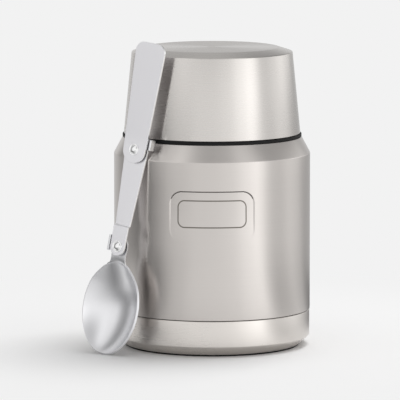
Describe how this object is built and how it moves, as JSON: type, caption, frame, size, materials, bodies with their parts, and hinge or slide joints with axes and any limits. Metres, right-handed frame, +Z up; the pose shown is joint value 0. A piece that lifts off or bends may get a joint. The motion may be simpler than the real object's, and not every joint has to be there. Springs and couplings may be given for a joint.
{
  "type": "insulated food jar",
  "caption": "Vacuum-walled steel food jar with a screw stopper, a screw-on serving cup as its lid, and a folding spoon leaning on its shoulder",
  "frame": {"origin": "middle of the jar's underside, on the surface it stands on, on the jar's axis", "axes": "+Z up along the jar's axis; -Y is the front, where the pressed panel is; +X is to the right seen from the front; the spoon leans at the front left"},
  "size_m": [0.1206, 0.104, 0.1651],
  "materials": {
    "body_steel": "satin",
    "cup_steel": "satin",
    "inner_steel": "satin",
    "spoon_steel": "polished",
    "foil": "gloss",
    "seal_metal": "matte",
    "pad_rubber": "matte",
    "black_plastic": "satin",
    "liner_plastic": "satin",
    "seal_silicone": "matte",
    "foam": "matte"
  },
  "bodies": {
    "jar": {"outer_shell": "body_steel", "inner_flask": "inner_steel", "heat_shield": "foil", "vacuum_end_disc": "inner_steel", "vacuum_seal": "seal_metal", "getter": "seal_metal", "base_cover": "body_steel", "base_pad": "pad_rubber"},
    "stopper_seal": {"stopper_gasket": "seal_silicone"},
    "stopper": {"stopper_body": "black_plastic", "plug_cap": "black_plastic", "plug_foam": "foam"},
    "cup_seal": {"cup_gasket": "seal_silicone"},
    "cup": {"cup_shell": "cup_steel", "cup_liner": "liner_plastic", "cup_foam": "foam", "cup_thread_ring": "liner_plastic"},
    "spoon_middle": {"spoon_arm": "spoon_steel", "handle_rivet": "spoon_steel", "bowl_rivet": "spoon_steel", "handle_washer": "spoon_steel"},
    "spoon_front": {"spoon_bowl": "spoon_steel"},
    "spoon_grip": {"spoon_handle": "spoon_steel"}
  },
  "joints": [
    {"name": "stopper_lift", "type": "slide", "parent": "jar", "child": "stopper_seal", "axis": [0, 0, 1], "range_m": [0, 0.024]},
    {"name": "stopper_turn", "type": "hinge", "parent": "stopper_seal", "child": "stopper", "pos_m": [0, 0, 0.1245], "axis": [0, 0, 1], "range_deg": [0, 540]},
    {"name": "cup_lift", "type": "slide", "parent": "stopper", "child": "cup_seal", "axis": [0, 0, 1], "range_m": [0, 0.036]},
    {"name": "cup_turn", "type": "hinge", "parent": "cup_seal", "child": "cup", "pos_m": [0, 0, 0.1139], "axis": [0, 0, 1], "range_deg": [0, 540]},
    {"name": "spoon_tip", "type": "hinge", "parent": "jar", "child": "spoon_middle", "pos_m": [-0.05861, -0.04051, 0.00032], "axis": [0.809, -0.5878, 0], "range_deg": [0, 76]},
    {"name": "bowl_fold", "type": "hinge", "parent": "spoon_middle", "child": "spoon_front", "pos_m": [-0.04822, -0.03784, 0.05701], "axis": [-0.5816, -0.8005, 0.1444], "range_deg": [0, 180]},
    {"name": "handle_fold", "type": "hinge", "parent": "spoon_middle", "child": "spoon_grip", "pos_m": [-0.03893, -0.03545, 0.10771], "axis": [-0.5816, -0.8005, 0.1444], "range_deg": [0, 180]}
  ],
  "couplings": [
    {"joint": "stopper_lift", "follows": "stopper_turn", "m_per_rad": 0.0025465},
    {"joint": "cup_lift", "follows": "cup_turn", "m_per_rad": 0.0038197},
    {"joint": "bowl_fold", "follows": "spoon_tip", "ratio": 2.3684}
  ]
}
